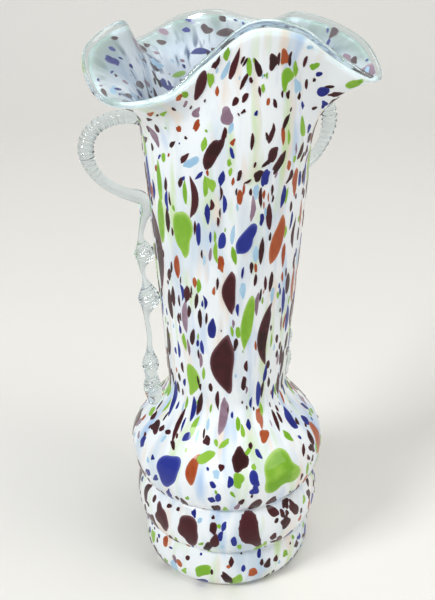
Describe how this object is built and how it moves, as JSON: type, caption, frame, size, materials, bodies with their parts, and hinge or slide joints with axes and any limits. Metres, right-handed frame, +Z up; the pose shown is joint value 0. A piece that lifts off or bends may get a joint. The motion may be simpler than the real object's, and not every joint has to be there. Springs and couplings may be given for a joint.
{
  "type": "art glass vase",
  "caption": "Tall free-standing cased glass vase: ringed bulbous body, long flared neck, ruffled mouth, and clear crimped loop handles with trails running down the neck.",
  "frame": {"origin": "middle of the vase's outline on the surface it stands on, which is the centre of its foot to about a millimetre", "axes": "+Z up along the vase's axis; the left handle lies towards -X and the mouth's high front fold towards -Y"},
  "size_m": [0.1382, 0.103, 0.3021],
  "materials": {
    "opal_glass": "gloss opal white",
    "crystal_glass": "fire polished, clear",
    "maroon_glass": "gloss",
    "cobalt_glass": "gloss",
    "green_glass": "gloss",
    "amber_glass": "gloss"
  },
  "bodies": {
    "root": {"opal_lining": "opal_glass", "crystal_casing": "crystal_glass", "left_handle": "crystal_glass", "right_handle": "crystal_glass", "chip_maroon_01": "maroon_glass", "chip_maroon_02": "maroon_glass", "chip_maroon_03": "maroon_glass", "chip_maroon_04": "maroon_glass", "chip_maroon_05": "maroon_glass", "chip_maroon_06": "maroon_glass", "chip_cobalt_01": "cobalt_glass", "chip_cobalt_02": "cobalt_glass", "chip_green_01": "green_glass", "chip_green_02": "green_glass", "chip_green_03": "green_glass", "chip_amber_01": "amber_glass", "chip_amber_02": "amber_glass", "chip_maroon_07": "maroon_glass", "chip_maroon_08": "maroon_glass", "chip_maroon_09": "maroon_glass", "chip_cobalt_03": "cobalt_glass", "chip_cobalt_04": "cobalt_glass", "chip_green_04": "green_glass", "chip_green_05": "green_glass", "chip_amber_03": "amber_glass", "chip_amber_04": "amber_glass"}
  },
  "joints": []
}
